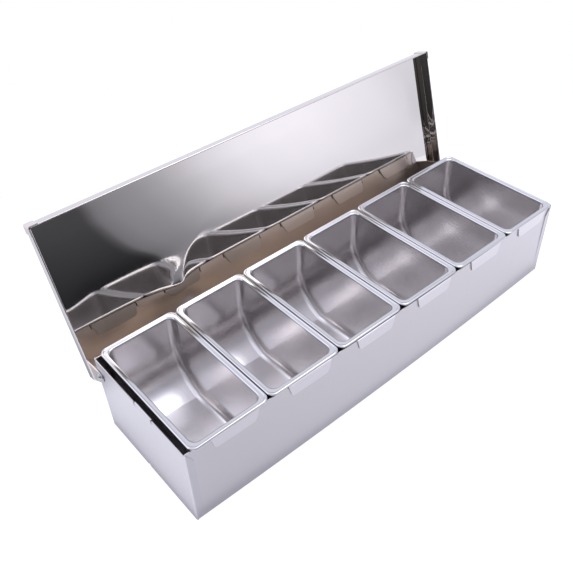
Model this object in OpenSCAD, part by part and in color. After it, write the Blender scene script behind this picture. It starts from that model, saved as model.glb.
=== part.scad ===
// Six-pan condiment server: a bent sheet housing, six lift-out pans and one long hinged lid.
// Millimetres. X runs along the row of pans, Y to the back, Z up.
// The origin is the middle of the footprint, on the surface that the housing stands on.

/* [Pans] */
// Outside width of a pan over its rolled rim
pan_w = 79.7; // [70:0.1:100]
// Outside length of a pan over its rolled rim
pan_l = 144.6; // [130:0.1:180]
// Depth of a pan from the seat of its rim to the underside of its floor
pan_drop = 79; // [66:1:120]
// Thickness of the pan sheet
pan_t = 0.6; // [0.5:0.1:1]
// Width of the flat rim from its outside edge to the pan wall
rim_land = 5; // [4:0.1:7]
// Radius of the rolled bead under the edge of the rim
bead_r = 1.15; // [0.9:0.05:1.5]
// Corner radius of the rim seen from above
rim_corner_r = 10.5; // [8.5:0.5:14]
// Radius of the scooped back of the hollow
scoop_r = 48; // [30:1:60]
// Radius between the front wall and the floor of the hollow
toe_r = 12; // [9:1:20]
// Radius along the side edges and upright corners of the hollow
side_r = 7.5; // [3:0.5:8.5]

/* [Row of pans] */
// Space between one rim and the next
pan_gap = 0.8; // [0.4:0.1:2]
// Space between the left end panel and the first rim
left_space = 5.1; // [1:0.1:8]
// Space between the last rim and the right end panel
right_space = 1.1; // [0.5:0.1:8]
// Space between the pans and the housing floor
floor_space = 11.9; // [4:0.1:30]
// How far a rim reaches past the outside of the wall that it hangs on
rim_over = 2.85; // [2.2:0.05:3.4]
// Running space between a bead and the top of the wall
seat_space = 0.3; // [0.1:0.1:0.6]

/* [Housing] */
// Thickness of the housing sheet
sheet_t = 0.8; // [0.6:0.1:1]
// Outside radius of the bends in the sheet
bend_r = 1.6; // [1.3:0.1:2.5]
// How far the front wall bows out at the middle of its length
front_bow = 3.2; // [1:0.1:5]
// Width of the end flanges that lap the front and back walls
lap_w = 8; // [5:0.5:15]
// Distance from the top of the walls down to the full width of the end flanges
lap_drop = 12; // [8:0.5:30]
// Height at which the end flanges reach their full width
lap_foot = 10; // [5:0.5:25]
// Distance that the plain edges of the walls stay below the folds
edge_drop = 0.3; // [0.1:0.1:0.6]
// Height of the folded tabs along the top of the walls
tab_h = 14; // [8:0.5:20]
// Length of a folded tab along its lower edge
tab_l = 42; // [20:1:44]
// Extra length of a tab at its fold, from its sloped ends
tab_flare = 3.5; // [2:0.5:6]
// Distance from the gap on the left of a pan to the middle of its tab
tab_offset = 44; // [40:0.5:46]
// Space inside the fold of a tab
fold_space = 0.3; // [0.2:0.05:0.5]
// Width of the relief slots at both ends of a fold
slot_w = 1.2; // [0.8:0.1:2]
// Depth of the relief slots
slot_h = 5; // [3:0.5:8]
// Length of the folded tab on top of an end panel
end_tab_l = 25; // [15:1:60]
// Distance from the middle of an end panel forward to the middle of its tab
end_tab_shift = 10; // [0:1:20]
// Radius of the drain notch at the foot of an end panel
drain_r = 2; // [1:0.5:4]
// Distance from the middle of an end panel back to its drain notch
drain_shift = 5; // [0:1:20]

/* [Lid] */
// Thickness of the lid sheet
lid_t = 0.7; // [0.5:0.1:1]
// Height of the closed lid above the top of the housing walls
lid_clear = 11.4; // [8:0.1:20]
// How far the lid reaches past the front of the housing
lid_front_over = 10.8; // [9:0.1:16]
// How far the closed lid reaches past the back of the housing
lid_back_over = 6.9; // [4:0.1:12]
// Depth of the flanges of the lid
lid_flange = 12; // [9:0.5:16]
// Height of the folded edge on the flanges
hem_h = 4; // [3:0.5:6]
// Size of the caps on the front corners
cap_size = 9; // [7:0.5:14]
// Thickness of the corner caps
cap_t = 0.6; // [0.4:0.1:1]
// Angle that the lid stands open from closed
open_angle = 106.56; // [0:1:140]

/* [Hinge] */
// Distance from the back of the housing in to the pivot axis
pivot_inset = 5.3; // [5.2:0.1:12]
// Distance from the top of the walls down to the pivot axis
pivot_drop = 19.5; // [15:0.5:30]
// Thickness of the hinge brackets
bracket_t = 1; // [0.8:0.1:1.5]
// Width of a bracket where it leaves the flange of the lid
bracket_w = 21; // [16:1:30]
// Radius of the round end of a bracket
bracket_r = 6.2; // [5:0.1:8]
// Diameter of the pivot bolt
bolt_d = 4; // [3:0.5:5]
// Diameter of the domed bolt head
head_d = 7.6; // [7:0.1:9]
// Height of the domed bolt head
head_h = 2.3; // [1.5:0.1:3]
// Thickness of the spacer between a bracket and an end panel
spacer_t = 0.5; // [0.3:0.1:1]
// Outside diameter of the spacer
spacer_d = 8; // [7:0.1:9]
// Thickness of the washer under the nut
washer_t = 0.5; // [0.3:0.1:1]
// Outside diameter of the washer under the nut
washer_d = 7; // [6.5:0.1:7.2]
// Width of the nut across its flats
nut_af = 7; // [6.5:0.1:7.2]
// Height of the nut
nut_h = 2.2; // [1.8:0.1:3.2]
// Length of bolt that shows past the nut
bolt_end = 0.6; // [0.2:0.1:1]
// Running clearance around the bolt
bolt_fit = 0.05; // [0.02:0.01:0.1]

/* [Hidden] */
$fn = 64;

satin = "#c9c8d2";
mirror_steel = "#b9bbc0";
pan_steel = "#a9a9b1";
bolt_steel = "#8f9096";

// The cuts of this file run past the faces that they open by this much.
past = 1;
// The great circle of the bowed wall has short chords, so that its facets stay under 0.01 mm.
bow_fn = 3600;

pan_count = 6;
pitch = pan_w + pan_gap;
row_l = pan_count * pitch - pan_gap;
housing_l = row_l + left_space + right_space + 2 * sheet_t;
half_l = housing_l / 2;
// Outside faces of the front and back walls, inside the lapped end flanges.
shell_w = pan_l - 2 * rim_over;
housing_w = shell_w + 2 * sheet_t;
half_w = housing_w / 2;
wall_y = shell_w / 2;
housing_h = sheet_t + floor_space + pan_drop - seat_space;
first_pan_x = -half_l + sheet_t + left_space + pan_w / 2;

// The bowed wall is part of a great circle through both of its ends.
// Its ends stand back far enough for the bow to clear the end flanges by lap_space.
lap_space = 0.05;
lap_sag = front_bow * (1 - pow(1 - lap_w / half_l, 2)) + lap_space;
bow_end_y = -wall_y + lap_sag;
bow_radius = (half_l * half_l + front_bow * front_bow) / (2 * front_bow);
bow_centre_y = bow_end_y - front_bow + bow_radius;
bow_half_angle = asin(half_l / bow_radius);

fold_r = sheet_t + fold_space / 2;
tab_first_x = first_pan_x - pitch / 2 + tab_offset;
// Cuts across the bowed wall and its tabs are this wide.
wall_cut = 4 * (front_bow + fold_r);

cavity_w = pan_w - 2 * (rim_land + pan_t);
cavity_l = pan_l - 2 * (rim_land + pan_t);
seat_z = housing_h + seat_space;
rim_top = seat_z + 2 * bead_r;
pan_floor_z = sheet_t + floor_space + pan_t;
scoop_z = pan_floor_z + scoop_r;
toe_z = pan_floor_z + toe_r;

pivot_y = half_w - pivot_inset;
pivot_z = housing_h - pivot_drop;
// The lid is drawn closed, with the pivot axis as its origin.
lid_rise = pivot_drop + lid_clear;
lid_rear = pivot_inset + lid_back_over;
lid_depth = housing_w + lid_front_over + lid_back_over;
lid_front = lid_rear - lid_depth;
lid_half_l = half_l + spacer_t + bracket_t + lid_t;
lid_bend = 2 * lid_t;
flange_foot = lid_rise - lid_flange;
hem_space = 0.05;
rear_hem = 6;
// The front and side flanges stop this far short of the corner between them.
corner_gap = 0.4;
// A bracket stands this far in from the rear edge of the lid, and the hem ends in front of it.
bracket_inset = 0.5;
hem_inset = 3;
bracket_top = lid_rise - lid_bend;
bracket_rear = lid_rear - bracket_inset;
bracket_front = bracket_rear - bracket_w;
hem_stop = bracket_front - hem_inset;
weld_r = 1.5;
weld_h = 0.25;
// Flats along the round end of a bracket.
end_steps = 24;

bolt_grip = bracket_t + spacer_t + sheet_t + washer_t + nut_h + bolt_end;

// A flat rectangle about the origin with round corners.
module round_rect(w, l, r) {
    square([w - 2 * r, l], center = true);
    square([w, l - 2 * r], center = true);
    for (x = [-1, 1], y = [-1, 1])
        translate([x * (w / 2 - r), y * (l / 2 - r)])
            circle(r = r);
}

// A rectangle from zero out to reach, with both far corners round.
module bull_nose(reach, w, r) {
    translate([0, -w / 2])
        square([reach - r, w]);
    translate([0, -w / 2 + r])
        square([reach, w - 2 * r]);
    for (side = [-1, 1])
        translate([reach - r, side * (w / 2 - r)])
            intersection() {
                circle(r = r);
                translate([0, -r])
                    square(2 * r);
            }
}

// A quarter turn about the X axis of the shape drawn, from straight down to the back.
module quarter_bowl(reach, w, r) {
    rotate([0, 90, 0])
        rotate_extrude(angle = 90, $fn = 96)
            bull_nose(reach, w, r);
}

// The hollow of a pan, grown on every side: open top, scooped back, flat floor.
module hollow(grow, top) {
    w = cavity_w + 2 * grow;
    l = cavity_l + 2 * grow;
    r = side_r + grow;
    back_r = scoop_r + grow;
    front_r = toe_r + grow;
    back_y = cavity_l / 2 - scoop_r;
    front_y = -cavity_l / 2 + toe_r;
    floor_z = pan_floor_z - grow;
    translate([0, 0, scoop_z])
        linear_extrude(top - scoop_z)
            round_rect(w, l, r);
    // Scoop from the back wall down to the floor.
    translate([0, back_y, scoop_z])
        quarter_bowl(back_r, w, r);
    // Straight run of floor between the scoop and the toe.
    translate([0, back_y, scoop_z])
        rotate([90, 0, 0])
            linear_extrude(back_y - front_y)
                rotate(-90)
                    bull_nose(back_r, w, r);
    // Toe below the front wall.
    translate([0, front_y, toe_z])
        rotate([0, 0, 180])
            quarter_bowl(front_r, w, r);
    // Front wall above the toe.
    translate([0, front_y, toe_z])
        linear_extrude(scoop_z - toe_z)
            rotate(-90)
                bull_nose(front_r, w, r);
}

// The rolled bead that runs round under the edge of the rim.
module rim_bead() {
    run_x = pan_w - 2 * rim_corner_r;
    run_y = pan_l - 2 * rim_corner_r;
    for (side = [-1, 1]) {
        translate([-run_x / 2, side * (pan_l / 2 - bead_r), 0])
            rotate([0, 90, 0])
                cylinder(r = bead_r, h = run_x, $fn = 24);
        translate([side * (pan_w / 2 - bead_r), run_y / 2, 0])
            rotate([90, 0, 0])
                cylinder(r = bead_r, h = run_y, $fn = 24);
    }
    for (turn = [0, 1, 2, 3])
        translate([
            (turn == 0 || turn == 3 ? 1 : -1) * run_x / 2,
            (turn < 2 ? 1 : -1) * run_y / 2,
            0
        ])
            rotate([0, 0, turn * 90])
                rotate_extrude(angle = 90, $fn = 96)
                    translate([rim_corner_r - bead_r, 0])
                        circle(r = bead_r, $fn = 24);
}

module pan(number) {
    color(pan_steel)
        translate([first_pan_x + (number - 1) * pitch, 0, 0]) {
            difference() {
                union() {
                    hollow(pan_t, rim_top - pan_t / 2);
                    translate([0, 0, rim_top - pan_t])
                        linear_extrude(pan_t)
                            round_rect(pan_w - 2 * bead_r, pan_l - 2 * bead_r, rim_corner_r - bead_r);
                    translate([0, 0, rim_top - bead_r])
                        rim_bead();
                }
                hollow(0, rim_top + past);
            }
        }
}

// Section of a wall with its folded top. Zero is the outside face, outward is positive.
module folded_section() {
    translate([-sheet_t, sheet_t])
        square([sheet_t, housing_h - fold_r - sheet_t]);
    translate([fold_space, housing_h - tab_h])
        square([sheet_t, tab_h - fold_r]);
    translate([fold_space / 2, housing_h - fold_r])
        difference() {
            circle(r = fold_r, $fn = 32);
            circle(r = fold_space / 2, $fn = 32);
            translate([-past - fold_r, -past - fold_r])
                square([2 * past + 2 * fold_r, past + fold_r]);
        }
}

// Section of a wall with a plain top, a little below the folds.
module plain_section() {
    translate([-sheet_t, sheet_t])
        square([sheet_t, housing_h - edge_drop - sheet_t]);
}

// The bend from the floor up into a wall, with the edge of the floor.
module foot_section() {
    translate([-2 * bend_r, 0])
        square([bend_r, sheet_t]);
    translate([-bend_r, bend_r])
        intersection() {
            difference() {
                circle(r = bend_r, $fn = 48);
                circle(r = bend_r - sheet_t, $fn = 48);
            }
            translate([0, -bend_r])
                square([bend_r, bend_r]);
        }
    translate([-sheet_t, bend_r])
        square([sheet_t, sheet_t]);
}

// Carries a section along the bowed front wall.
module along_front() {
    translate([0, bow_centre_y, 0])
        rotate([0, 0, -90 - bow_half_angle])
            rotate_extrude(angle = 2 * bow_half_angle, $fn = bow_fn)
                translate([bow_radius, 0])
                    children();
}

// Carries a section along the straight back wall.
module along_back() {
    translate([half_l, wall_y, 0])
        rotate([90, 0, -90])
            linear_extrude(housing_l)
                mirror([1, 0])
                    children();
}

// Blocks that stand where the folded tabs are, narrower at their lower edge.
module tab_zones(side) {
    foot_z = housing_h - tab_h - past;
    for (i = [0 : pan_count - 1])
        translate([tab_first_x + i * pitch, side * wall_y, 0])
            rotate([90, 0, 0])
                linear_extrude(wall_cut, center = true)
                    polygon([
                        [-tab_l / 2, foot_z],
                        [tab_l / 2, foot_z],
                        [tab_l / 2 + tab_flare, housing_h + past],
                        [-tab_l / 2 - tab_flare, housing_h + past]
                    ]);
}

// Slots that free both ends of each fold from the wall.
module relief_slots(side) {
    for (i = [0 : pan_count - 1], hand = [-1, 1])
        translate([
            tab_first_x + i * pitch + hand * (tab_l / 2 + tab_flare + slot_w / 2) - slot_w / 2,
            side * wall_y - wall_cut / 2,
            housing_h - slot_h
        ])
            cube([slot_w, wall_cut, slot_h + past]);
}

// Room in the top of a wall for the round folds.
module fold_rooms(side) {
    for (i = [0 : pan_count - 1])
        translate([
            tab_first_x + i * pitch - tab_l / 2 - tab_flare,
            side * wall_y - wall_cut / 2,
            housing_h - fold_r
        ])
            cube([tab_l + 2 * tab_flare, wall_cut, fold_r + past]);
}

// Flat floor between the end panels, bowed along its front edge like the wall above it.
module floor_outline(inset) {
    intersection() {
        translate([0, bow_centre_y])
            circle(r = bow_radius - inset, $fn = bow_fn);
        translate([-half_l + sheet_t, -wall_y - front_bow])
            square([housing_l - 2 * sheet_t, 2 * wall_y + front_bow - inset]);
    }
}

// Both walls with their folds and the bends at their feet.
module walls() {
    difference() {
        along_front() plain_section();
        fold_rooms(-1);
    }
    difference() {
        along_back() plain_section();
        fold_rooms(1);
    }
    intersection() {
        along_front() folded_section();
        tab_zones(-1);
    }
    intersection() {
        along_back() folded_section();
        tab_zones(1);
    }
    along_front() foot_section();
    along_back() foot_section();
}

module housing_shell() {
    color(satin) {
        difference() {
            walls();
            relief_slots(-1);
            relief_slots(1);
            // The walls end where the bends of the end panels begin.
            for (side = [-1, 1])
                translate([
                    side * (half_l + past / 2 - bend_r / 2) - (bend_r + past) / 2,
                    -half_w - front_bow - past,
                    -past
                ])
                    cube([bend_r + past, housing_w + 2 * (front_bow + past), housing_h + 2 * past]);
        }
        linear_extrude(sheet_t)
            floor_outline(bend_r);
    }
}

// Outline of an end panel from above: a flat plate with one flange turned round each corner.
module end_outline() {
    translate([0, -half_w + bend_r])
        square([sheet_t, housing_w - 2 * bend_r]);
    for (side = [0, 1])
        mirror([0, side])
            translate([bend_r, half_w - bend_r]) {
                intersection() {
                    difference() {
                        circle(r = bend_r, $fn = 48);
                        circle(r = bend_r - sheet_t, $fn = 48);
                    }
                    translate([-bend_r, 0])
                        square(bend_r);
                }
                translate([0, bend_r - sheet_t])
                    square([lap_w - bend_r, sheet_t]);
            }
}

// Side view of the left end panel, X and Z: its flanges are cut off at a slope at both ends.
module end_profile() {
    polygon([
        [-past, 0],
        [bend_r, 0],
        [lap_w, lap_foot],
        [lap_w, housing_h - lap_drop],
        [bend_r, housing_h - edge_drop],
        [-past, housing_h - edge_drop]
    ]);
}

// The left end panel with its outside face at zero.
module end_panel() {
    tab_y = -end_tab_shift;
    difference() {
        union() {
            difference() {
                intersection() {
                    linear_extrude(housing_h)
                        end_outline();
                    rotate([90, 0, 0])
                        linear_extrude(housing_w + 2 * past, center = true)
                            end_profile();
                }
                // Room for the round fold of the tab.
                translate([-past, tab_y - end_tab_l / 2, housing_h - fold_r])
                    cube([2 * past + sheet_t, end_tab_l, fold_r]);
            }
            // Foot flange on top of the floor.
            translate([sheet_t / 2, bow_end_y + bend_r, sheet_t])
                cube([lap_w - sheet_t / 2, wall_y - bow_end_y - 2 * bend_r, sheet_t]);
            // Short tab folded inward over the top edge.
            translate([fold_r, tab_y + end_tab_l / 2, housing_h - fold_r])
                rotate([90, 0, 0])
                    linear_extrude(end_tab_l)
                        difference() {
                            circle(r = fold_r, $fn = 32);
                            circle(r = fold_space / 2, $fn = 32);
                            translate([-2 * fold_r, -2 * fold_r])
                                square([4 * fold_r, 2 * fold_r]);
                        }
            translate([fold_r + fold_space / 2, tab_y - end_tab_l / 2, housing_h - tab_h / 2])
                cube([sheet_t, end_tab_l, tab_h / 2 - fold_r]);
        }
        // Hole for the pivot bolt.
        translate([-past, pivot_y, pivot_z])
            rotate([0, 90, 0])
                cylinder(d = bolt_d + 2 * bolt_fit, h = 2 * past + sheet_t, $fn = 32);
        // Drain notch in the foot.
        translate([-past, drain_shift, 0])
            rotate([0, 90, 0])
                cylinder(r = drain_r, h = sheet_t + past, $fn = 32);
        // Relief slots beside the tab.
        for (side = [-1, 1])
            translate([-past, tab_y + side * (end_tab_l + slot_w) / 2 - slot_w / 2, housing_h - slot_h])
                cube([2 * past + sheet_t, slot_w, slot_h + past]);
    }
}

// Places what is drawn for the left end, or its mirror image at the right end.
module at_end(side) {
    if (side < 0)
        translate([-half_l, 0, 0])
            children();
    else
        mirror([1, 0, 0])
            translate([-half_l, 0, 0])
                children();
}

// Swings what is drawn for the closed lid, with the pivot as origin, to the open lid.
module at_lid() {
    translate([0, pivot_y, pivot_z])
        rotate([-open_angle, 0, 0])
            children();
}

// Section of an edge of the lid: top sheet, bend, flange, and a fold if it has one.
// Zero is the outside face of the flange, inward is positive, and up is up.
module lid_edge(fold) {
    translate([lid_bend, lid_rise - lid_bend])
        intersection() {
            difference() {
                circle(r = lid_bend, $fn = 48);
                circle(r = lid_bend - lid_t, $fn = 48);
            }
            translate([-lid_bend, 0])
                square([lid_bend, lid_bend]);
        }
    translate([0, flange_foot + lid_t])
        square([lid_t, lid_flange - lid_t - lid_bend]);
    translate([lid_bend, lid_rise - lid_t])
        square([lid_bend, lid_t]);
    if (fold) {
        turn_r = lid_t + hem_space / 2;
        translate([turn_r, flange_foot + turn_r])
            intersection() {
                circle(r = turn_r, $fn = 32);
                translate([-turn_r, -turn_r])
                    square([2 * turn_r, turn_r]);
            }
        translate([lid_t + hem_space, flange_foot + turn_r])
            square([lid_t, hem_h - turn_r]);
        translate([0, flange_foot + turn_r])
            square([lid_t, lid_t]);
    } else {
        translate([0, flange_foot])
            square([lid_t, 2 * lid_t]);
    }
}

module lid_side() {
    // Folded stretch from the front corner to the bracket.
    translate([0, hem_stop, 0])
        rotate([90, 0, 0])
            linear_extrude(hem_stop - lid_front - lid_bend - corner_gap)
                lid_edge(true);
    // Plain stretch over the bracket.
    translate([0, lid_rear, 0])
        rotate([90, 0, 0])
            linear_extrude(lid_rear - hem_stop)
                lid_edge(false);
}

module lid_panel() {
    front_run = 2 * (lid_half_l - lid_bend - corner_gap);
    turn_r = lid_t + hem_space / 2;
    color(mirror_steel)
        at_lid() {
            // Top sheet.
            translate([-lid_half_l + lid_bend, lid_front + lid_bend, lid_rise - lid_t])
                cube([2 * lid_half_l - 2 * lid_bend, lid_depth - lid_bend - turn_r, lid_t]);
            // Front flange.
            translate([front_run / 2, lid_front, 0])
                rotate([90, 0, -90])
                    linear_extrude(front_run)
                        mirror([1, 0])
                            lid_edge(true);
            // Side flanges.
            translate([-lid_half_l, 0, 0])
                lid_side();
            mirror([1, 0, 0])
                translate([-lid_half_l, 0, 0])
                    lid_side();
            // Rear edge, folded under.
            translate([-lid_half_l + lid_bend, lid_rear - turn_r, lid_rise - turn_r])
                rotate([90, 0, 90])
                    linear_extrude(2 * lid_half_l - 2 * lid_bend)
                        intersection() {
                            circle(r = turn_r, $fn = 32);
                            translate([0, -turn_r])
                                square([turn_r, 2 * turn_r]);
                        }
            translate([
                -half_l + lid_bend,
                lid_rear - rear_hem,
                lid_rise - 2 * lid_t - hem_space
            ])
                cube([housing_l - 2 * lid_bend, rear_hem - turn_r, lid_t]);
        }
}

// The cap over a front corner of the lid, drawn for the left end.
module lid_corner() {
    outer_r = lid_bend + cap_t;
    foot = flange_foot - cap_t;
    translate([-lid_half_l, lid_front, 0])
        difference() {
            translate([0, 0, foot])
                linear_extrude(lid_flange + 2 * cap_t) {
                    translate([outer_r - cap_t, outer_r - cap_t])
                        circle(r = outer_r, $fn = 48);
                    translate([-cap_t, outer_r - cap_t])
                        square([cap_size, cap_size - outer_r]);
                    translate([outer_r - cap_t, -cap_t])
                        square([cap_size - outer_r, cap_size]);
                }
            // Room for the corner of the lid.
            translate([0, 0, flange_foot - cap_t - past])
                linear_extrude(lid_flange + cap_t + past) {
                    translate([lid_bend, lid_bend])
                        circle(r = lid_bend, $fn = 48);
                    translate([0, lid_bend])
                        square([cap_size + past, cap_size + past]);
                    translate([lid_bend, 0])
                        square([cap_size + past, cap_size + past]);
                }
        }
}

// Direction in which a line from a point touches the round end of a bracket, on the side asked for.
function touch_angle(p, side) = atan2(p[1], p[0]) + side * acos(bracket_r / norm(p));

// The bracket from above its pivot, as a flat shape: Y to the right, Z up.
module bracket_shape() {
    rear_neck = [bracket_rear, flange_foot];
    front_neck = [bracket_front, flange_foot];
    rear_turn = touch_angle(rear_neck, -1);
    front_turn = touch_angle(front_neck, 1) - 360;
    round_end = [
        for (step = [0 : end_steps])
            let (turn = front_turn + step / end_steps * (rear_turn - front_turn))
                [bracket_r * cos(turn), bracket_r * sin(turn)]
    ];
    difference() {
        polygon(concat(
            [[bracket_front, bracket_top], front_neck],
            round_end,
            [rear_neck, [bracket_rear, bracket_top]]
        ));
        circle(d = bolt_d + 2 * bolt_fit, $fn = 32);
    }
}

// A hinge bracket with its two weld dimples, drawn for the left end.
module hinge_bracket() {
    translate([-spacer_t - bracket_t, 0, 0])
        rotate([90, 0, 90])
            linear_extrude(bracket_t)
                bracket_shape();
    for (share = [0.25, 0.75])
        translate([
            -spacer_t - past / 2,
            bracket_front + share * bracket_w,
            flange_foot + lid_flange / 2
        ])
            rotate([0, 90, 0])
                cylinder(r = weld_r, h = past / 2 + weld_h, $fn = 24);
}

module pivot_bolt() {
    head_r = (head_d * head_d / 4 + head_h * head_h) / (2 * head_h);
    face_x = -spacer_t - bracket_t;
    translate([face_x, pivot_y, pivot_z])
        rotate([0, 90, 0])
            cylinder(d = bolt_d, h = bolt_grip, $fn = 32);
    translate([face_x, pivot_y, pivot_z])
        rotate([0, -90, 0])
            intersection() {
                translate([0, 0, head_h - head_r])
                    sphere(r = head_r, $fn = 64);
                cylinder(d = head_d, h = head_h + past, $fn = 64);
            }
}

// A flat ring on the pivot axis, from x to x + t.
module pivot_ring(x, t, d) {
    translate([x, pivot_y, pivot_z])
        rotate([0, 90, 0])
            difference() {
                cylinder(d = d, h = t, $fn = 48);
                translate([0, 0, -past])
                    cylinder(d = bolt_d + 2 * bolt_fit, h = t + 2 * past, $fn = 32);
            }
}

module pivot_spacer() {
    pivot_ring(-spacer_t, spacer_t, spacer_d);
}

module pivot_washer() {
    pivot_ring(sheet_t, washer_t, washer_d);
}

// Hexagon nut with one flat facing the back wall.
module pivot_nut() {
    translate([sheet_t + washer_t, pivot_y, pivot_z])
        rotate([0, 90, 0])
            difference() {
                cylinder(d = nut_af / cos(30), h = nut_h, $fn = 6);
                translate([0, 0, -past])
                    cylinder(d = bolt_d + 2 * bolt_fit, h = nut_h + 2 * past, $fn = 32);
            }
}

module end_panel_at(side) {
    color(satin) at_end(side) end_panel();
}

module lid_corner_at(side) {
    color(mirror_steel) at_lid() mirror([side < 0 ? 0 : 1, 0, 0]) lid_corner();
}

module hinge_bracket_at(side) {
    color(satin) at_lid() at_end(side) hinge_bracket();
}

module pivot_bolt_at(side) {
    color(bolt_steel) at_end(side) pivot_bolt();
}

module pivot_spacer_at(side) {
    color(bolt_steel) at_end(side) pivot_spacer();
}

module pivot_washer_at(side) {
    color(bolt_steel) at_end(side) pivot_washer();
}

module pivot_nut_at(side) {
    color(bolt_steel) at_end(side) pivot_nut();
}

housing_shell();
end_panel_at(-1);  // end_panel_left
end_panel_at(1);  // end_panel_right
lid_panel();
lid_corner_at(-1);  // lid_corner_left
lid_corner_at(1);  // lid_corner_right
hinge_bracket_at(-1);  // hinge_bracket_left
hinge_bracket_at(1);  // hinge_bracket_right
pivot_bolt_at(-1);  // pivot_bolt_left
pivot_bolt_at(1);  // pivot_bolt_right
pivot_spacer_at(-1);  // pivot_spacer_left
pivot_spacer_at(1);  // pivot_spacer_right
pivot_washer_at(-1);  // pivot_washer_left
pivot_washer_at(1);  // pivot_washer_right
pivot_nut_at(-1);  // pivot_nut_left
pivot_nut_at(1);  // pivot_nut_right
pan(1);  // pan_1
pan(2);  // pan_2
pan(3);  // pan_3
pan(4);  // pan_4
pan(5);  // pan_5
pan(6);  // pan_6
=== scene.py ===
import math

import bmesh
import bpy
import numpy as np
from mathutils import Matrix, Vector


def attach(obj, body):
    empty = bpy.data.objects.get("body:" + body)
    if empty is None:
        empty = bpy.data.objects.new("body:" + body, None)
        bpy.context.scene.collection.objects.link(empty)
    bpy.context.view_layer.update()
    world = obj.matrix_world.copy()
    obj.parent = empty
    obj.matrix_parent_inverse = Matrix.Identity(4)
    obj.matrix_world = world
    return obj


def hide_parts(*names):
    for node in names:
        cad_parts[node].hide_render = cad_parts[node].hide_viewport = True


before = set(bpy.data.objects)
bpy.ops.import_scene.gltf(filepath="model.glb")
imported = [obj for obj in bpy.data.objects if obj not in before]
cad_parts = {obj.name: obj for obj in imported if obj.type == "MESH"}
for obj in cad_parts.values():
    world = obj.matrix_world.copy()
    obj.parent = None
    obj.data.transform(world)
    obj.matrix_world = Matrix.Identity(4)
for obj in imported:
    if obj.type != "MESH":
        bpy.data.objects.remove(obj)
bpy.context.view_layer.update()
print("frame loaded:", len(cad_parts), "nodes")

# Shapes are worked out in millimetres, in the frame of the CAD: X along the row of pans, Y to the back, Z up.
mm = 0.001
near = 0.01          # lengths that differ by less than this, in mm, count as equal

meshing = dict(
    crisp=35.0,      # degrees between two faces from which their edge stays sharp
    weld=1e-7,       # metres within which points become one
    sliver=1e-8,     # metres below which an edge goes
)


def addPiece(name, parts, material, body):
    # parts is a list of (points in mm, faces); they become one mesh whose faces point outwards.
    points, faces, start = [], [], 0
    for partPoints, partFaces in parts:
        points.append(np.asarray(partPoints, float).reshape(-1, 3))
        faces += [tuple(int(i) + start for i in face) for face in partFaces]
        start += len(points[-1])
    mesh = bpy.data.meshes.new(name)
    mesh.from_pydata((np.concatenate(points) * mm).tolist(), [], faces)
    work = bmesh.new()
    work.from_mesh(mesh)
    bmesh.ops.remove_doubles(work, verts=work.verts, dist=meshing["weld"])
    bmesh.ops.dissolve_degenerate(work, dist=meshing["sliver"], edges=work.edges)
    bmesh.ops.recalc_face_normals(work, faces=work.faces)
    work.to_mesh(mesh)
    work.free()
    mesh.polygons.foreach_set("use_smooth", np.ones(len(mesh.polygons), bool))
    mesh.set_sharp_from_angle(angle=math.radians(meshing["crisp"]))
    mesh.materials.append(material)
    piece = bpy.data.objects.new(name, mesh)
    bpy.context.scene.collection.objects.link(piece)
    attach(piece, body)
    return piece


def sweep(rings):
    # rings has the shape (stations, points, 3): closed rings, each joined to the next by quads, with both
    # ends filled.
    stations, count = rings.shape[:2]
    i, j = np.meshgrid(np.arange(stations - 1), np.arange(count), indexing="ij")
    k = (j + 1) % count
    faces = np.stack([i * count + j, i * count + k, (i + 1) * count + k, (i + 1) * count + j], -1)
    faces = faces.reshape(-1, 4).tolist()
    faces.append(list(range(count))[::-1])
    faces.append([(stations - 1) * count + i for i in range(count)])
    return rings.reshape(-1, 3), faces


def arc(centreA, centreB, radius, start, end, count):
    # Points at radius from a centre, with angles in degrees from start to end.
    t = np.radians(np.linspace(start, end, count))
    return np.column_stack([centreA + radius * np.cos(t), centreB + radius * np.sin(t)])


def line(a, b):
    # Points on a straight line: one of a and b is a row of places, the other the place they share.
    return np.column_stack(np.broadcast_arrays(a, b))


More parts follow.
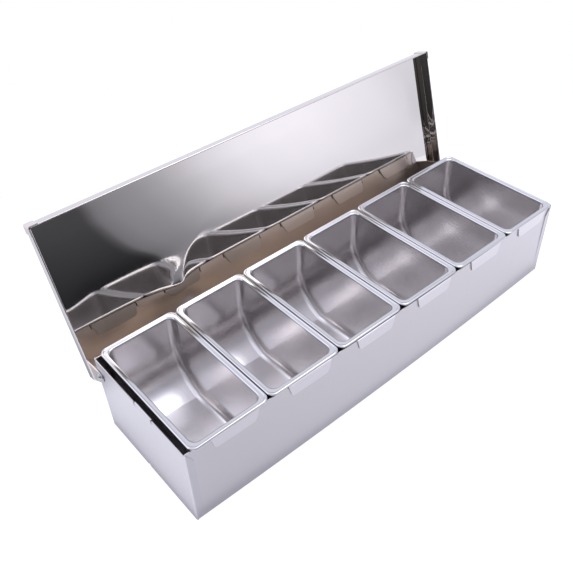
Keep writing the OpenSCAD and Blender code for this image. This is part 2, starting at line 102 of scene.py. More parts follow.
# Finishes of the sheet steel. bright and dull mix in soft smudges, which also vary the roughness. grain is the
# scale of the fine texture, drawn out by stretch, and depth its height in metres. second is a colour, with a
# roughness where one is given, that takes over along an axis, within a span in metres: on the pans it is a
# polished rim, on the back wall and the back tabs it is painted reflection and painted light. What a steel
# doesn't say is as in satin.
satin = dict(metallic=1.0, roughness=0.30, variation=0.10, grain=700.0, stretch=(0.08, 1, 1), depth=0.00002,
             strength=0.3, second=None)
steels = {
    "satin sheet": dict(bright=(0.70, 0.665, 0.665), dull=(0.67, 0.635, 0.635),
                        second=dict(axis="Y", span=(0.068, 0.0688), color=(0.80, 0.72, 0.66))),  # painted warm reflection on the back wall
    # The back tabs: their warm colour is painted reflection, darker on the left as painted shade and lighter
    # from the middle rightwards as painted light.
    "satin tab painted light": dict(bright=(0.60, 0.55, 0.52), dull=(0.57, 0.52, 0.49), roughness=0.50,
                      second=dict(axis="X", span=(-0.11, 0.03), color=(0.97, 0.90, 0.86), roughness=0.38)),
    # The front folds: their colour, lighter than the sheet they are folded from, is painted light.
    "satin fold painted light": dict(bright=(0.80, 0.765, 0.765), dull=(0.77, 0.735, 0.735)),
    "satin end": dict(bright=(0.665, 0.64, 0.65), dull=(0.635, 0.61, 0.62), stretch=(1, 0.08, 1)),
    "bright lid": dict(bright=(0.72, 0.675, 0.625), dull=(0.705, 0.66, 0.61), roughness=0.035, variation=0.02,
                       grain=500.0, stretch=(0.1, 1, 1), depth=0.000003),
    "drawn pan": dict(bright=(0.76, 0.735, 0.73), dull=(0.73, 0.705, 0.70), metallic=0.95, roughness=0.23,
                      variation=0.08, grain=2500.0, stretch=(1, 1, 1), depth=0.000004, strength=0.2,
                      second=dict(axis="Z", span=(0.0905, 0.0925), color=(0.66, 0.65, 0.65),
                                  roughness=0.10)),                                             # polished rim
    "bolt": dict(bright=(0.55, 0.54, 0.53), dull=(0.45, 0.44, 0.43), roughness=0.25, grain=900.0,
                 stretch=(1, 1, 1), depth=0.00001),
}
texture = dict(grainDetail=4.0, smudgeScale=38.0, smudgeDetail=3.0)


def makeSteelGroup():
    # Smudges and fine grain of sheet steel: a tint mask, a roughness and a height.
    group = bpy.data.node_groups.new("steelFinish", "ShaderNodeTree")
    for name, kind, value in (("Grain Scale", "NodeSocketFloat", satin["grain"]),
                              ("Stretch", "NodeSocketVector", satin["stretch"]),
                              ("Roughness", "NodeSocketFloat", satin["roughness"]),
                              ("Variation", "NodeSocketFloat", satin["variation"])):
        socket = group.interface.new_socket(name, in_out="INPUT", socket_type=kind)
        socket.default_value = value
    for name in ("Tint", "Roughness", "Height"):
        group.interface.new_socket(name, in_out="OUTPUT", socket_type="NodeSocketFloat")
    nodes, links = group.nodes, group.links
    inputs, outputs = nodes.new("NodeGroupInput"), nodes.new("NodeGroupOutput")
    coords = nodes.new("ShaderNodeTexCoord")
    stretched = nodes.new("ShaderNodeVectorMath")
    stretched.operation = "MULTIPLY"
    links.new(coords.outputs["Object"], stretched.inputs[0])
    links.new(inputs.outputs["Stretch"], stretched.inputs[1])
    grain = nodes.new("ShaderNodeTexNoise")
    grain.inputs["Detail"].default_value = texture["grainDetail"]
    links.new(stretched.outputs[0], grain.inputs["Vector"])
    links.new(inputs.outputs["Grain Scale"], grain.inputs["Scale"])
    smudge = nodes.new("ShaderNodeTexNoise")
    smudge.inputs["Scale"].default_value = texture["smudgeScale"]
    smudge.inputs["Detail"].default_value = texture["smudgeDetail"]
    links.new(coords.outputs["Object"], smudge.inputs["Vector"])
    centred = nodes.new("ShaderNodeMath")
    centred.operation = "SUBTRACT"
    centred.inputs[1].default_value = 0.5
    links.new(smudge.outputs["Fac"], centred.inputs[0])
    varied = nodes.new("ShaderNodeMath")
    varied.operation = "MULTIPLY_ADD"
    links.new(centred.outputs[0], varied.inputs[0])
    links.new(inputs.outputs["Variation"], varied.inputs[1])
    links.new(inputs.outputs["Roughness"], varied.inputs[2])
    links.new(smudge.outputs["Fac"], outputs.inputs["Tint"])
    links.new(varied.outputs[0], outputs.inputs["Roughness"])
    links.new(grain.outputs["Fac"], outputs.inputs["Height"])
    return group


def addSecondFinishOrPaintedLight(material, axis, span, color, roughness=None):
    # Where the coordinate passes through the span, the first colour and roughness change to the second.
    nodes, links = material.node_tree.nodes, material.node_tree.links
    shader = nodes["Principled BSDF"]
    coords = nodes.new("ShaderNodeTexCoord")
    split = nodes.new("ShaderNodeSeparateXYZ")
    links.new(coords.outputs["Object"], split.inputs[0])
    share = nodes.new("ShaderNodeMapRange")
    share.inputs["From Min"].default_value, share.inputs["From Max"].default_value = span
    links.new(split.outputs[axis], share.inputs["Value"])
    tint = nodes.new("ShaderNodeMix")
    tint.data_type = "RGBA"
    tint.inputs["B"].default_value = (*color, 1)
    links.new(share.outputs[0], tint.inputs["Factor"])
    links.new(shader.inputs["Base Color"].links[0].from_socket, tint.inputs["A"])
    links.new(tint.outputs["Result"], shader.inputs["Base Color"])
    if roughness is not None:
        change = nodes.new("ShaderNodeMix")
        change.inputs["B"].default_value = roughness
        links.new(share.outputs[0], change.inputs["Factor"])
        links.new(shader.inputs["Roughness"].links[0].from_socket, change.inputs["A"])
        links.new(change.outputs["Result"], shader.inputs["Roughness"])


def makeSteel(name, steelGroup):
    look = {**satin, **steels[name]}
    material = bpy.data.materials.new(name)
    material.use_nodes = True
    nodes, links = material.node_tree.nodes, material.node_tree.links
    shader = nodes["Principled BSDF"]
    shader.inputs["Metallic"].default_value = look["metallic"]
    finish = nodes.new("ShaderNodeGroup")
    finish.node_tree = steelGroup
    finish.inputs["Grain Scale"].default_value = look["grain"]
    finish.inputs["Stretch"].default_value = look["stretch"]
    finish.inputs["Roughness"].default_value = look["roughness"]
    finish.inputs["Variation"].default_value = look["variation"]
    tint = nodes.new("ShaderNodeMix")
    tint.data_type = "RGBA"
    tint.inputs["A"].default_value = (*look["dull"], 1)
    tint.inputs["B"].default_value = (*look["bright"], 1)
    links.new(finish.outputs["Tint"], tint.inputs["Factor"])
    links.new(tint.outputs["Result"], shader.inputs["Base Color"])
    links.new(finish.outputs["Roughness"], shader.inputs["Roughness"])
    bump = nodes.new("ShaderNodeBump")
    bump.inputs["Distance"].default_value = look["depth"]
    bump.inputs["Strength"].default_value = look["strength"]
    links.new(finish.outputs["Height"], bump.inputs["Height"])
    links.new(bump.outputs["Normal"], shader.inputs["Normal"])
    if look["second"]:
        addSecondFinishOrPaintedLight(material, **look["second"])
    return material


steelGroup = makeSteelGroup()
steel = {name: makeSteel(name, steelGroup) for name in steels}
print("materials made")


pan = dict(
    count=6,
    firstX=-199.25,
    pitch=80.5,
    width=68.5,              # of the hollow
    length=133.4,            # of the hollow, front to back
    floorZ=13.3,
    top=94.0,
    sheet=0.6,
    scoop=50.0,              # radius of the back
    sink=2.4,                # how far its arc would run below the floor; it meets the floor in a crease
    toe=12.0,                # radius at the front
    side=7.5,                # radius along the sides
    draft=0.9,               # how much narrower each side is at the floor
    lip=1.5,                 # radius from the wall over into the rim
    landDrop=0.4,            # flat of the rim below the top of the bead
    landGap=0.1,             # from that flat to the bead
    bead=1.15,
    beadEnd=-170,            # degrees to which the bead is rolled
    rim=5.6,                 # from the wall of the hollow to the outside of the bead
    rimCorner=6.8,
    under=1.2,               # radius from the underside of the rim down into the wall
    underStart=(1.6, 0.2),   # where the underside begins: outside the wall, and below the flat
    levels=44,               # outlines from floor to rim
    firstLevel=0.035,        # angle of the lowest one
    floorRings=(0.2, 0.6, 0.9, 0.985),
    cornerPoints=12,
    straightPoints=5,
    rimPoints=(7, 22, 5),    # on the lip, on the bead and on the bend under the rim
)


def bridge(first, last, count):
    # Straight run of points between two points of every level, without its ends.
    t = np.linspace(0, 1, count + 2)[1:-1][None, :, None]
    return first[:, None, :] * (1 - t) + last[:, None, :] * t


def closeLoop(corner, back, front, height):
    # corner (levels, n) gives X, back and front give Y, from the side round to the middle of the end.
    height = np.broadcast_to(height, corner.shape)
    rightBack = np.stack([corner, back, height], -1)
    leftBack = np.stack([-corner, back, height], -1)[:, ::-1]
    leftFront = np.stack([-corner, front, height], -1)
    rightFront = np.stack([corner, front, height], -1)[:, ::-1]
    runs = []
    corners = [rightBack, leftBack, leftFront, rightFront]
    for here, after in zip(corners, corners[1:] + corners[:1]):
        runs += [here, bridge(here[:, -1], after[:, 0], pan["straightPoints"])]
    return np.concatenate(runs, 1)


def hollowLoops(above, grow):
    # Level outlines of the hollow, made larger by grow, at heights above its floor. A level cuts the scoop of
    # radius R and the fillet of radius r along the side: the point that stands at angle p on the fillet lies
    # sqrt((R - r + r sin p)^2 - (R - sink - height)^2) behind the axis of the scoop. The toe goes likewise.
    r = pan["side"] + grow
    above = above[:, None]
    wall = pan["width"] / 2 + grow - pan["draft"] * np.clip(1 - above / (pan["top"] - pan["floorZ"]), 0, 1)
    first = np.arcsin(np.clip(1 - above / r, 0, 1))
    p = first + (np.pi / 2 - first) * np.linspace(0, 1, pan["cornerPoints"])[None]
    corner = wall - r + r * np.cos(p)

    def reach(radius, sink=0.0):
        full = radius + grow
        level = np.maximum(full - sink - above, 0)
        return np.sqrt(np.maximum((full - r + r * np.sin(p)) ** 2 - level ** 2, 0))

    back = pan["length"] / 2 - pan["scoop"] + reach(pan["scoop"], pan["sink"])
    front = -pan["length"] / 2 + pan["toe"] - reach(pan["toe"])
    return closeLoop(corner, back, front, pan["floorZ"] - grow + above)


def rimLoops(profile):
    # profile holds (distance out from the hollow, height); each gives a rectangle with round corners.
    out, height = profile[:, :1], profile[:, 1:]
    r = pan["side"] + out * (pan["rimCorner"] - pan["side"]) / pan["rim"]
    p = np.linspace(0, np.pi / 2, pan["cornerPoints"])[None]
    corner = pan["width"] / 2 + out - r + r * np.cos(p)
    back = pan["length"] / 2 + out - r + r * np.sin(p)
    return closeLoop(corner, back, -back, height)


def rimProfile():
    # Lip, flat, rolled bead, and the underside back to the outer wall.
    flat, lip, t = pan["top"] - pan["landDrop"], pan["lip"], pan["sheet"]
    bead, under = pan["bead"], pan["under"]
    beadOut, beadZ = pan["rim"] - bead, pan["top"] - bead
    meet = math.degrees(math.asin((flat - beadZ) / bead))      # where the flat runs into the bead
    lipPoints, beadPoints, underPoints = pan["rimPoints"]
    startOut, startDown = pan["underStart"]
    return np.concatenate([
        arc(lip, flat - lip, lip, 180, 90, lipPoints),
        [[(lip + beadOut - bead) / 2, flat], [beadOut - bead - pan["landGap"], flat]],
        arc(beadOut, beadZ, bead, 180 - meet, pan["beadEnd"], beadPoints),
        [[t + startOut, flat - t - startDown]],
        arc(t + under, flat - t - under, under, 90, 180, underPoints),
    ])


def panPart():
    # One closed skin: from the middle of the floor up the hollow, over the rim and down the outside. The levels
    # stand at 1 - cos(angle) of the height, close together near the floor.
    t = pan["sheet"]
    inside = pan["top"] - pan["landDrop"] - pan["lip"] - pan["floorZ"]
    outside = pan["top"] - pan["landDrop"] - t - pan["under"] - pan["floorZ"] + t
    levels = 1 - np.cos(np.linspace(pan["firstLevel"], np.pi / 2, pan["levels"]))
    inner = hollowLoops(inside * levels, 0)
    outer = hollowLoops(outside * levels[::2][::-1], t)
    rim = rimLoops(rimProfile())
    floor = inner[:1] * [[[1, 1, 0]]] + [[[0, 0, pan["floorZ"]]]]
    middle = floor.mean(1, keepdims=True)
    floors = np.concatenate([middle + (floor - middle) * s for s in pan["floorRings"]])
    return sweep(np.concatenate([floors, inner, rim[:-1], outer]))


def makePans():
    points, faces = panPart()
    for number in range(1, pan["count"] + 1):
        shift = [pan["firstX"] + (number - 1) * pan["pitch"], 0, 0]
        name = "pan_%d" % number
        parts = [(points + shift, faces)]
        piece = addPiece("lift_out_" + name, parts, steel["drawn pan"], name)
        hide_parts(name)


makePans()
print("pans made")


housing = dict(
    halfLength=245.0,
    wallY=69.45,             # outer face of the back wall
    height=91.4,
    sheet=0.8,
    bend=1.0,                # outer radius
    bow=3.2,                 # how far the front wall bows out at mid length
    splay=1.0,               # how far its foot stands forward
    splayTop=70.0,           # height where that ends
    endSetback=0.255,        # how far its ends stand back
    edgeDrop=0.3,            # plain edges stay this far below the folds
    slotWidth=(0.5, 1.2),    # beside the tabs of the front and of the back wall
    slotDepth=(2.5, 5.0),
    stations=61,             # sections along X, besides those at the slots
    bendPoints=6,
    wallPoints=(30, 60),     # heights of further points on a wall
    floorPoints=(-30, 0, 30),
    tabCount=6,
    firstTab=-195.5,
    pitch=80.5,
    tabHeight=14.0,
    tabLength=42.0,
    tabFlare=3.5,            # how much further each end of a tab reaches at its fold
    tabCorner=3.0,           # rounding of its lower corners
    tabSpace=0.3,            # between tab and wall
    tabEase=(0.15, 0.08),    # bevel of its lower edge
    tabLevels=(0, 0.15, 0.5, 1.0, 1.7, 2.4, 3.2, 6.0, 9.0),      # above its lower edge
    tabStations=17,
    foldPoints=(13, 5),      # outside and inside of the fold
)


def bowAt(x):
    # A great circle through both ends: how far the wall stands forward of its ends.
    h = housing
    radius = (h["halfLength"] ** 2 + h["bow"] ** 2) / (2 * h["bow"])
    return np.sqrt(radius ** 2 - x ** 2) - radius + h["bow"]


def wallTop(x, back):
    # Height of the edge of a wall at x; it steps down under the folds and in the slots beside them.
    h = housing
    wide, deep = h["slotWidth"][back], h["slotDepth"][back]
    top = np.full_like(x, h["height"] - h["edgeDrop"])
    for k in range(h["tabCount"]):
        away = np.abs(x - h["firstTab"] - k * h["pitch"])
        half = h["tabLength"] / 2 + h["tabFlare"]
        top = np.where(away < half, h["height"] - h["sheet"] - h["tabSpace"] / 2, top)
        top = np.where((away >= half) & (away < half + wide), h["height"] - deep, top)
    return top


def shellStations():
    # Even steps along X, with a close pair at each side of every slot.
    h = housing
    end = h["halfLength"] - h["bend"]
    steps = [np.linspace(-end, end, h["stations"])]
    for k in range(h["tabCount"]):
        for side in (-1, 1):
            edge = h["firstTab"] + k * h["pitch"] + side * (h["tabLength"] / 2 + h["tabFlare"])
            marks = np.array([edge, edge + side * h["slotWidth"][0], edge + side * h["slotWidth"][1]])
            steps.append(np.concatenate([marks - near, marks + near]))
    return np.unique(np.concatenate(steps))


def shellPart():
    # A channel section carried along X. The front wall moves forward by the bow, the floor by its share of it,
    # and the foot of the front wall by splay * (1 - height / splayTop). The floor reaches on to the end panels.
    h = housing
    t, b, y, n = h["sheet"], h["bend"], h["wallY"], h["bendPoints"]
    f = -y + h["endSetback"]
    x = shellStations()
    edge = 1e3                                   # stands for the upper edge of a wall
    up = np.array([*h["wallPoints"], edge])
    along = np.array(h["floorPoints"])
    section = np.concatenate([
        line(f, up[::-1]), arc(f + b, b, b, 180, 270, n), line(along, 0),
        arc(y - b, b, b, 270, 360, n), line(y, up),
        line(y - t, up[::-1]), arc(y - b, b, b - t, 0, -90, n), line(along[::-1], t),
        arc(f + b, b, b - t, 270, 180, n), line(f + t, up),
    ])
    frontWall = section[:, 0] < f + b + near
    share = np.clip((y - b - section[:, 0]) / (2 * y - 2 * b), 0, 1)
    share = np.where(frontWall, 1, share * (section[:, 1] < t + near))
    foot = h["splay"] * np.clip(1 - section[:, 1] / h["splayTop"], 0, 1) * frontWall
    tops = np.where(section[None, :, 0] < 0, wallTop(x, 0)[:, None], wallTop(x, 1)[:, None])
    onFloor = (np.abs(section[:, 0]) < y - b + near) & (section[:, 1] < t + near)
    rings = np.empty((len(x), len(section), 3))
    rings[..., 0] = x[:, None]
    rings[..., 1] = (section[:, 0] - foot)[None] - bowAt(x)[:, None] * share[None]
    rings[..., 2] = np.where(section[None, :, 1] == edge, tops, section[None, :, 1])
    rings[0, :, 0] -= (b - t) * onFloor
    rings[-1, :, 0] += (b - t) * onFloor
    return sweep(rings)


def tabPart(centre, side):
    # A folded tab: an arch over the edge of the wall and a flap down its outside. Its half length
    # grows with height, and its lower corners are round.
    h = housing
    t, s, top = h["sheet"], h["tabSpace"], h["height"]
    fold = t + s / 2
    foot = top - h["tabHeight"]
    drop = np.array(h["tabLevels"])
    inset, below = h["tabEase"]
    outer, inner = h["foldPoints"]
    section = np.concatenate([
        arc(s / 2, top - fold, fold, 180, 0, outer),
        line(s + t, foot + drop[::-1]),
        [[s + t - inset, foot - below], [s + inset, foot - below]],
        line(s, foot + drop),
        arc(s / 2, top - fold, s / 2, 0, 180, inner),
    ])
    up = section[:, 1] - foot
    corner = h["tabCorner"]
    half = h["tabLength"] / 2 + h["tabFlare"] * np.clip(up / h["tabHeight"], 0, 1)
    low = np.clip(corner - up, 0, corner)
    half = half - (corner - np.sqrt(np.maximum(corner ** 2 - low ** 2, 0)))
    x = centre + np.linspace(-1, 1, h["tabStations"])[:, None] * half[None]
    out = section[None, :, 0]
    y = h["wallY"] + out if side > 0 else -(h["wallY"] - h["endSetback"]) - bowAt(x) - out
    return sweep(np.stack([x, y + 0 * x, section[None, :, 1] + 0 * x], -1))


def makeHousing():
    shell = addPiece("housing_sheet", [shellPart()], steel["satin sheet"], "housing")
    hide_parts("housing_shell")
    # The colours of the front folds hold painted light; the colours of the back tabs hold painted light and
    # painted reflection.
    for side, name, finish in ((-1, "front", "satin fold painted light"), (1, "back", "satin tab painted light")):
        tabs = [tabPart(housing["firstTab"] + k * housing["pitch"], side) for k in range(housing["tabCount"])]
        addPiece("folded_tabs_" + name, tabs, steel[finish], "housing")


makeHousing()
print("housing made")


# The lid is drawn closed, with the pivot as its origin.
lid = dict(
    pivotY=64.95,
    pivotZ=71.9,
    openAngle=106.56,
    rise=30.9,               # outer face of the sheet
    rear=12.2,
    front=-146.0,
    halfLength=247.2,
    sheet=0.7,
    bend=1.4,                # outer radius
    foot=18.9,               # lower edge of the flanges
    hemHeight=4.0,
    hemSpace=0.05,
    hemStop=-12.3,           # the side hems end here, in front of the brackets
    hemCut=(0.02, 1.0),      # steps of the sections behind that end
    rearHem=6.0,
    rearEase=0.2,            # from the last flat point to the rear hem
    cornerGap=0.4,
    bendEase=2.0,            # from the last point of a flange to its bend
    sheetDepth=0.1,          # the wave reaches the points down to this far below the rear hem
    hemPoints=9,
    bendPoints=(8, 6),       # outside and inside of a bend
    sheetPoints=70,          # across the sheet
    stations=261,            # along the sheet
    sideStations=(40, 8),    # along a side, up to the end of its hem and behind it
    camber=0.256,            # slight S of the sheet
    camberMiddle=76.0,
    camberWidth=14.5,
    camberLine=(10, 71),     # start of the straight line that is taken off, and its run for a rise of 1
    dent=2.0,                # depth of the dent by the left hinge
    dentPeak=40,
    dentFall=14.0,
    dentSides=(28.0, 12.0),  # fall to the left and to the right of its crest
    dentRise=(9, 27),        # start and length of its rise from the rear edge
    crestUp=(40, 50, 56, 66, 73, 78, 87, 95),
    crestX=(-128, -125, -120, -114, -109, -103, -88, -75),
    crestRound=(1.5, 0.12),  # rounding of the crest, and how fast it grows
    crestGrowth=(50, 60),    # where that starts, and how far it goes on
    flatSides=(5, 30),       # flat margin of the sheet, and the ramp beside it, at the sides,
    flatFront=(4, 22),       # in front
    flatRear=(6, 20),        # and behind
    ripples=((0.06, 53, 125, 0.6), (0.02, 23, -90, 0)),      # height, length along X and across, shift
)


def openLid(points):
    # Turns the closed lid open about its pivot.
    a = math.radians(-lid["openAngle"])
    x, y, z = points[..., 0], points[..., 1], points[..., 2]
    return np.stack([x, lid["pivotY"] + y * math.cos(a) - z * math.sin(a),
                     lid["pivotZ"] + y * math.sin(a) + z * math.cos(a)], -1)


def sheetWave(x, y):
    # How far, in mm, the sheet stands out of flat towards the pans. With v = distance from the rear edge it is
    # a slight S, camber * (1 + tanh((v - middle) / width)) less a straight line. Added to it are faint ripples
    # and a dent by the left hinge, whose crest runs up from the rear edge and leans to the right:
    # dent * exp(-(v - peak) / fall) * exp(-distance / side). All of it fades out towards the edges of the
    # sheet as u * u * (3 - 2 * u).
    g = lid
    v = g["rear"] - y
    start, run = g["camberLine"]
    camber = g["camber"] * (1 + np.tanh((v - g["camberMiddle"]) / g["camberWidth"]) - (v - start) / run)
    tight, growth = g["crestRound"]
    start, span = g["crestGrowth"]
    away = x - np.interp(v, g["crestUp"], g["crestX"])
    soft = tight + np.clip(v - start, 0, span) * growth
    away = (np.sqrt(away ** 2 + soft ** 2) - soft) / np.where(away < 0, *g["dentSides"])
    dent = g["dent"] * np.exp(-np.maximum(v - g["dentPeak"], 0) / g["dentFall"]) * np.exp(-away)
    start, span = g["dentRise"]
    rise = np.clip((v - start) / span, 0, 1)
    (side, sideRamp), (front, frontRamp), (rear, rearRamp) = g["flatSides"], g["flatFront"], g["flatRear"]
    fade = np.clip((g["halfLength"] - side - np.abs(x)) / sideRamp, 0, 1)
    fade = fade * np.clip((y - g["front"] - front) / frontRamp, 0, 1)
    fade = fade * np.clip((v - rear) / rearRamp, 0, 1)
    fade = fade * fade * (3 - 2 * fade)
    wave = sum(height * np.sin(x / along + v / across + shift) for height, along, across, shift in g["ripples"])
    return fade * (camber + dent * rise * rise * (3 - 2 * rise) + wave)


def lidMainPart():
    # Front hem, flange, bend, sheet and rear hem as one section, carried along X.
    g = lid
    t, b, rise, foot, front, rear = g["sheet"], g["bend"], g["rise"], g["foot"], g["front"], g["rear"]
    turn = t + g["hemSpace"] / 2
    outer, inner = g["bendPoints"]
    section = np.concatenate([
        arc(front + turn, foot + turn, turn, 360, 180, g["hemPoints"]),
        [[front, foot + g["hemHeight"]], [front, rise - b - g["bendEase"]]],
        arc(front + b, rise - b, b, 180, 90, outer)[:-1],
        line(np.linspace(front + b, rear - turn - g["rearEase"], g["sheetPoints"]), rise),
        arc(rear - turn, rise - turn, turn, 90, -90, g["hemPoints"]),
        [[rear - g["rearHem"], rise - 2 * turn]],
        line(np.linspace(rear - g["rearHem"], front + b, g["sheetPoints"]), rise - t),
        arc(front + b, rise - b, b - t, 90, 180, inner)[1:],
        [[front + t, foot + g["hemHeight"]], [front + 2 * turn, foot + g["hemHeight"]]],
    ])
    full = g["halfLength"] - b
    short = full - g["cornerGap"]
    low = np.clip((rise - section[:, 1]) / b, 0, 1)
    waved = section[:, 1] > rise - 2 * turn - g["sheetDepth"]
    rings = np.empty((g["stations"], len(section), 3))
    rings[..., 0] = np.linspace(-1, 1, g["stations"])[:, None] * (full + (short - full) * low)[None]
    rings[..., 1] = section[None, :, 0]
    rings[..., 2] = section[None, :, 1] - sheetWave(rings[..., 0], rings[..., 1]) * waved
    return sweep(openLid(rings))


def lidSidePart(side):
    # Side flange with its bend, carried along Y; its hem ends in front of the hinge bracket.
    g = lid
    t, b, rise, foot, stop = g["sheet"], g["bend"], g["rise"], g["foot"], g["hemStop"]
    turn = t + g["hemSpace"] / 2
    outer, inner = g["bendPoints"]
    section = np.concatenate([
        arc(turn, foot + turn, turn, 360, 180, g["hemPoints"]),
        [[0, foot + g["hemHeight"]], [0, rise - b - g["bendEase"]]],
        arc(b, rise - b, b, 180, 90, outer),
        arc(b, rise - b, b - t, 90, 180, inner),
        [[t, foot + g["hemHeight"]], [2 * turn, foot + g["hemHeight"]]],
    ])
    plain = np.where(section[:, 1] < foot + g["hemHeight"] + near, np.minimum(section[:, 0], t), section[:, 0])
    (first, second), (before, behind) = g["hemCut"], g["sideStations"]
    y = np.concatenate([np.linspace(g["front"] + b + g["cornerGap"], stop, before), [stop + first],
                        np.linspace(stop + second, g["rear"], behind)])
    rings = np.empty((len(y), len(section), 3))
    rings[..., 0] = side * (g["halfLength"] - np.where((y <= stop)[:, None], section[None, :, 0], plain[None]))
    rings[..., 1] = y[:, None]
    rings[..., 2] = section[None, :, 1]
    return sweep(openLid(rings))


def makeLid():
    parts = [lidMainPart(), lidSidePart(-1), lidSidePart(1)]
    sheet = addPiece("lid_sheet", parts, steel["bright lid"], "lid")
    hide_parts("lid_panel")


makeLid()
print("lid made")


# Finishes of the CAD nodes that keep their shape; each has a left and a right one.
dressed = {
    "end_panel": "satin end",
    "lid_corner": "satin sheet",
    "hinge_bracket": "satin sheet",
    "pivot_bolt": "bolt",
    "pivot_spacer": "bolt",
    "pivot_washer": "bolt",
    "pivot_nut": "bolt",
}

for kind, finish in dressed.items():
    for end in ("left", "right"):
        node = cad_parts["%s_%s" % (kind, end)]
        node.data.materials.clear()
        node.data.materials.append(steel[finish])
print("solids dressed")


def shaderMath(nodes, links):
    # Short forms for math nodes: calc for one operation, step for a smooth step, blend for a mix by share.
    def calc(operation, *values):
        node = nodes.new("ShaderNodeMath")
        node.operation = operation
        for socket, value in zip(node.inputs, values):
            if isinstance(value, (int, float)):
                socket.default_value = value
            else:
                links.new(value, socket)
        return node.outputs[0]

    def step(value, low, high):
        node = nodes.new("ShaderNodeMapRange")
        node.interpolation_type = "SMOOTHSTEP"
        node.inputs["From Min"].default_value = low
        node.inputs["From Max"].default_value = high
        links.new(value, node.inputs["Value"])
        return node.outputs[0]

    def blend(share, first, last):
        return calc("ADD", calc("MULTIPLY", first, calc("SUBTRACT", 1.0, share)), calc("MULTIPLY", last, share))

    return calc, step, blend


# Lengths of the floor, the softbox and the camera are in metres.
floor = dict(
    x=(-0.62, 0.66),
    y=(-0.40, 0.52),
    z=-0.0002,                   # just under the object
    paint=(0.30, 0.305, 0.33),
    roughness=0.9,
    glow=(0.915, 0.93, 1),       # colour of the light that the floor adds
    camera=0.92,                 # added where the camera sees it, so that the page stays white
    ahead=0.60,                  # added where metal reflects it in front of the object,
    slope=0.52,                  # more to the right
    contact=0.6,                 # painted contact shadow: share of that right at the foot of the object
    left=0.85,                   # by the left end
    behind=0.12,                 # in the shadow behind the object
    flange=0.52,                 # and beyond that shadow
    leftEdge=(-0.27, -0.235),    # x from left to ahead
    frontFoot=(0.073, 0.083),    # distance in front of the origin over which contact ends,
    leftFoot=(0.245, 0.251),     # and to the left of it
    flangeEdge=(-0.30, -0.26),   # x from flange to behind
    backEdge=(0.10, 0.14),       # y from ahead to behind
)


def makeFloor():
    # A plain pale plane. Its glow depends on place: in metal it is painted light, brighter to the right, with
    # painted shadow at the foot of the object and behind it. Only the camera and reflections in metal see it.
    (left, right), (front, back), z = floor["x"], floor["y"], floor["z"]
    mesh = bpy.data.meshes.new("floor")
    corners = [(left, front, z), (right, front, z), (right, back, z), (left, back, z)]
    mesh.from_pydata(corners, [], [(0, 1, 2, 3)])
    plane = bpy.data.objects.new("floor", mesh)
    bpy.context.scene.collection.objects.link(plane)
    material = bpy.data.materials.new("pale floor")
    material.use_nodes = True
    nodes, links = material.node_tree.nodes, material.node_tree.links
    paint = nodes["Principled BSDF"]
    paint.inputs["Base Color"].default_value = (*floor["paint"], 1)
    paint.inputs["Roughness"].default_value = floor["roughness"]
    paint.inputs["Specular IOR Level"].default_value = 0.0
    paint.inputs["Emission Color"].default_value = (*floor["glow"], 1)
    path = nodes.new("ShaderNodeLightPath")
    coords = nodes.new("ShaderNodeTexCoord")
    split = nodes.new("ShaderNodeSeparateXYZ")
    links.new(coords.outputs["Object"], split.inputs[0])
    x, y = split.outputs[0], split.outputs[1]
    calc, step, blend = shaderMath(nodes, links)
    ahead = calc("MULTIPLY_ADD", x, floor["slope"], floor["ahead"])
    ahead = blend(step(x, *floor["leftEdge"]), floor["left"], ahead)
    clear = calc("MAXIMUM", step(calc("MULTIPLY", y, -1.0), *floor["frontFoot"]),
                 step(calc("MULTIPLY", x, -1.0), *floor["leftFoot"]))
    ahead = calc("MULTIPLY", ahead, blend(clear, floor["contact"], 1.0))
    behind = blend(step(x, *floor["flangeEdge"]), floor["flange"], floor["behind"])
    inMetal = calc("MULTIPLY", blend(step(y, *floor["backEdge"]), ahead, behind), path.outputs["Is Glossy Ray"])
    glow = calc("MULTIPLY_ADD", path.outputs["Is Camera Ray"], floor["camera"], inMetal)
    links.new(glow, paint.inputs["Emission Strength"])
    mesh.materials.append(material)


# Angles in degrees; x and y are parts of the direction's unit vector, 1 straight to the right or to the back.
room = dict(
    frontEdge=(16.6, 0.27, 0.022),   # a = 16.6 + 0.27 d + 0.022 d^2, d degrees below the horizon
    wall=[(-20, 0.09), (-0.5, 0.088), (0.5, 0.27), (2, 0.37), (4, 0.44), (6, 0.58), (8, 0.78), (10, 1.02),
          (13, 1.27), (16, 1.37), (19, 1.38), (24, 1.24), (27, 1.02), (40, 0.9)],    # degrees past a, tone
    wallFade=0.028,                  # for each degree below the horizon
    darkFade=(1.1, 0.09, 0.2),       # share of the dark part: level, fall for each degree, least
    darkEdge=(0.0, 0.5),             # degrees past a where it ends
    table=0.98,                      # the far end of a white table
    tableDepth=(8.1, 8.9),           # degrees below the horizon
    tableEdge=(2.0, 4.0),            # degrees past a
    frontMiddle=0.50,
    frontHigh=0.38,
    aside=1.8,                       # how much brighter both are to the right
    asideTurn=(28.0, 46.0),          # degrees to the right
    middleRise=(4.0, 14.0),          # degrees above the horizon where frontMiddle begins,
    highRise=(24.0, 40.0),           # and frontHigh, backHigh and backLeft
    back=(-0.1, 0.25),               # y where the front changes to the back
    backLow=1.0,
    backHigh=0.95,
    backLeft=1.7,
    backTurn=(-0.35, 0.05),          # x from backLeft to backHigh
    lampRim=0.64,                    # dimmer lower rim of the ceiling lamp
    lampLeft=1.05,
    lampMiddle=2.1,
    lampRight=1.0,
    lampRimRise=(32, 40),            # degrees above the horizon
    lampRise=(41, 58),
    lampBack=(0.04, 0.30),           # y where the lamp ends
    lampTurn=(-0.05, 0.15),          # x from lampLeft to lampMiddle
    lampSide=(0.50, 0.75),           # x from lampMiddle to lampRight
    tint=(0.96, 0.98, 1.14),
)


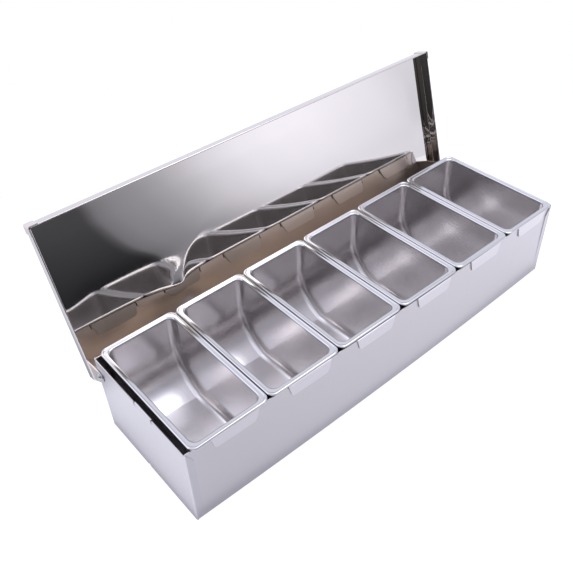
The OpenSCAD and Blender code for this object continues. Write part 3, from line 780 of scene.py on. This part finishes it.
def makeWorld():
    # White for the camera. Metal and floor see a room by direction: with a = degrees from straight in front
    # towards the right, the front is dark up to frontEdge, then comes a bright wall; the back is white, and a
    # wide lamp is overhead.
    world = bpy.data.worlds.new("studio")
    bpy.context.scene.world = world
    world.use_nodes = True
    nodes, links = world.node_tree.nodes, world.node_tree.links
    calc, step, blend = shaderMath(nodes, links)
    coords = nodes.new("ShaderNodeTexCoord")
    split = nodes.new("ShaderNodeSeparateXYZ")
    links.new(coords.outputs["Generated"], split.inputs[0])
    x, y, z = split.outputs
    turned = calc("MULTIPLY", calc("ARCTAN2", x, calc("MULTIPLY", y, -1.0)), 180 / math.pi)
    raised = calc("MULTIPLY", calc("ARCSINE", z), 180 / math.pi)
    below = calc("MAXIMUM", calc("MULTIPLY", raised, -1.0), 0.0)
    level, slope, curve = room["frontEdge"]
    edge = calc("ADD", level, calc("MULTIPLY", below, calc("MULTIPLY_ADD", below, curve, slope)))
    past = calc("SUBTRACT", turned, edge)

    # The wall's tones are halved in the ramp, because a ramp holds no more than 1.
    ramp = nodes.new("ShaderNodeValToRGB")
    stops = ramp.color_ramp.elements
    tones = room["wall"]
    start, span = tones[0][0], tones[-1][0] - tones[0][0]
    for stop, (degrees, tone) in zip((stops[0], stops[1]), (tones[0], tones[-1])):
        stop.position = (degrees - start) / span
        stop.color = (tone / 2, tone / 2, tone / 2, 1)
    for degrees, tone in tones[1:-1]:
        stops.new((degrees - start) / span).color = (tone / 2, tone / 2, tone / 2, 1)
    links.new(calc("DIVIDE", calc("SUBTRACT", past, start), span), ramp.inputs[0])
    wall = calc("MULTIPLY", ramp.outputs["Color"], 2.0)
    wall = calc("MULTIPLY", wall, calc("MULTIPLY_ADD", below, -room["wallFade"], 1.0))
    level, fall, least = room["darkFade"]
    dark = calc("MAXIMUM", calc("MULTIPLY_ADD", below, -fall, level), least)
    wall = calc("MULTIPLY", wall, blend(step(past, *room["darkEdge"]), dark, 1.0))
    table = calc("MULTIPLY", step(below, *room["tableDepth"]), step(past, *room["tableEdge"]))
    wall = calc("MAXIMUM", wall, calc("MULTIPLY", table, room["table"]))

    aside = blend(step(turned, *room["asideTurn"]), 1.0, room["aside"])
    middle = calc("MAXIMUM", wall, calc("MULTIPLY", aside, room["frontMiddle"]))
    wall = blend(step(raised, *room["middleRise"]), wall, middle)
    behind = step(y, *room["back"])
    low = blend(behind, wall, room["backLow"])
    back = blend(step(x, *room["backTurn"]), room["backLeft"], room["backHigh"])
    high = blend(behind, calc("MULTIPLY", aside, room["frontHigh"]), back)
    tone = blend(step(raised, *room["highRise"]), low, high)
    overhead = calc("SUBTRACT", 1.0, step(y, *room["lampBack"]))
    tone = blend(calc("MULTIPLY", step(raised, *room["lampRimRise"]), overhead), tone, room["lampRim"])
    lamp = blend(step(x, *room["lampTurn"]), room["lampLeft"], room["lampMiddle"])
    lamp = blend(step(x, *room["lampSide"]), lamp, room["lampRight"])
    tone = blend(calc("MULTIPLY", step(raised, *room["lampRise"]), overhead), tone, lamp)

    tinted = nodes.new("ShaderNodeCombineXYZ")
    for socket, share in zip(tinted.inputs, room["tint"]):
        links.new(calc("MULTIPLY", tone, share), socket)
    path = nodes.new("ShaderNodeLightPath")
    choose = nodes.new("ShaderNodeMix")
    choose.data_type = "RGBA"
    choose.clamp_factor = True
    choose.inputs["B"].default_value = (1, 1, 1, 1)
    links.new(tinted.outputs[0], choose.inputs["A"])
    links.new(path.outputs["Is Camera Ray"], choose.inputs["Factor"])
    links.new(choose.outputs["Result"], nodes["Background"].inputs["Color"])


softbox = dict(
    place=(0.42, -0.15, 1.3),
    aim=(0, 0, 0.08),
    size=(0.8, 0.5),
    power=2.0,
)


def makeSoftbox():
    light = bpy.data.lights.new("key softbox", "AREA")
    light.shape = "RECTANGLE"
    light.size, light.size_y = softbox["size"]
    light.energy = softbox["power"]
    lamp = bpy.data.objects.new("key softbox", light)
    lamp.location = softbox["place"]
    lamp.rotation_mode = "QUATERNION"
    lamp.rotation_quaternion = (Vector(softbox["aim"]) - Vector(softbox["place"])).to_track_quat("-Z", "Y")
    bpy.context.scene.collection.objects.link(lamp)


# The camera looks from the front left and above, with a slight roll, as the photograph was taken.
view = dict(
    azimuth=-39.0711,
    elevation=41.292,
    roll=-2.6306,
    place=(-0.3821, -0.37395, 0.5440),
    lens=44.22,
    sensor=36.0,
)


def makeCamera():
    azimuth, elevation, roll = (math.radians(view[a]) for a in ("azimuth", "elevation", "roll"))
    level = math.cos(elevation)
    back = np.array([math.sin(azimuth) * level, -math.cos(azimuth) * level, math.sin(elevation)])
    right = np.cross(-back, [0, 0, 1])
    right /= np.linalg.norm(right)
    up = np.cross(right, -back)
    c, s = math.cos(roll), math.sin(roll)
    right, up = c * right + s * up, -s * right + c * up
    data = bpy.data.cameras.new("camera")
    data.lens = view["lens"]
    data.sensor_width = view["sensor"]
    camera = bpy.data.objects.new("camera", data)
    place = Matrix.Identity(4)
    for row in range(3):
        place[row] = (right[row], up[row], back[row], view["place"][row])
    camera.matrix_world = place
    bpy.context.scene.collection.objects.link(camera)
    bpy.context.scene.camera = camera


makeFloor()
makeWorld()
makeSoftbox()
makeCamera()
bpy.context.scene.view_settings.view_transform = "Standard"
print("studio made")
